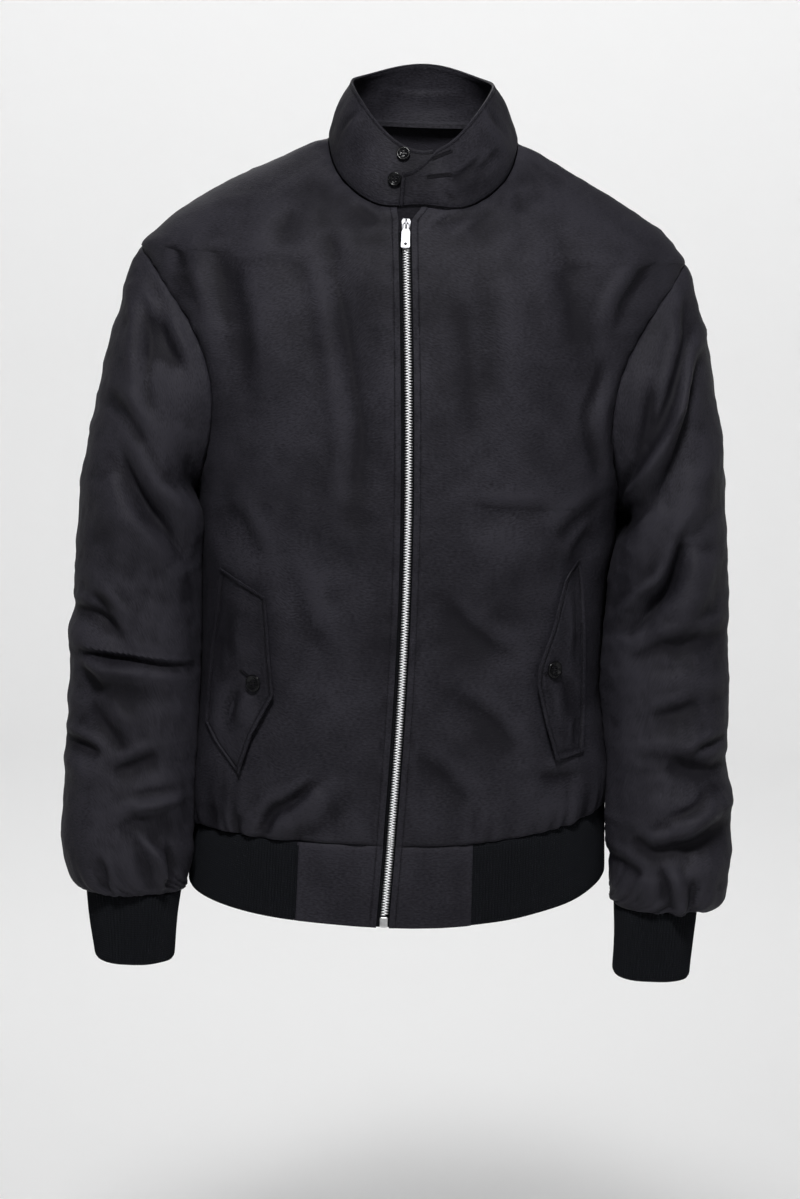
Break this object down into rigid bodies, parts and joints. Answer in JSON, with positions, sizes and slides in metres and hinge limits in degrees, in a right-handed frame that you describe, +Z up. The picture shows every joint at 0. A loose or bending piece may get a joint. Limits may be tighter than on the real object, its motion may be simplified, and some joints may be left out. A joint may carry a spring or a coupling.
{
  "type": "harrington jacket",
  "caption": "Zip-front short jacket in its hollow worn form: buttoned stand collar, slanted buttoned pocket flaps, knitted rib hem and cuffs, swinging zip pull.",
  "frame": {"origin": "middle of the neck opening, level with the neck-to-shoulder points less 8 mm, where the wearer's shoulders hold the jacket", "axes": "+Z up, -Y the way the front faces, +X towards the wearer's left arm"},
  "size_m": [0.5984, 0.2576, 0.8001],
  "materials": {
    "poplin": "black, tightly woven, soft sheen",
    "rib": "black, matt, knitted rib",
    "zip_metal": "silver, satin",
    "button": "black, glossy"
  },
  "bodies": {
    "jacket": {"front_right": "poplin", "front_left": "poplin", "back": "poplin", "collar": "poplin", "sleeve_right": "poplin", "sleeve_left": "poplin", "pocket_flap_right": "poplin", "pocket_flap_left": "poplin", "hem_tab_right": "poplin", "hem_tab_left": "poplin", "hem_rib": "rib", "cuff_right": "rib", "cuff_left": "rib", "zip_tape_right": "poplin", "zip_tape_left": "poplin", "zip_chain": "zip_metal", "zip_box": "zip_metal", "zip_slider": "zip_metal", "pocket_button_right": "button", "pocket_button_left": "button", "collar_button_upper": "button", "collar_button_lower": "button"},
    "pull_tab": {"zip_pull": "zip_metal"}
  },
  "joints": [
    {"name": "zip_pull_hinge", "type": "hinge", "parent": "jacket", "child": "pull_tab", "pos_m": [-0.0125, -0.09435, -0.06304], "axis": [-1, 0, 0], "range_deg": [0, 140]}
  ]
}
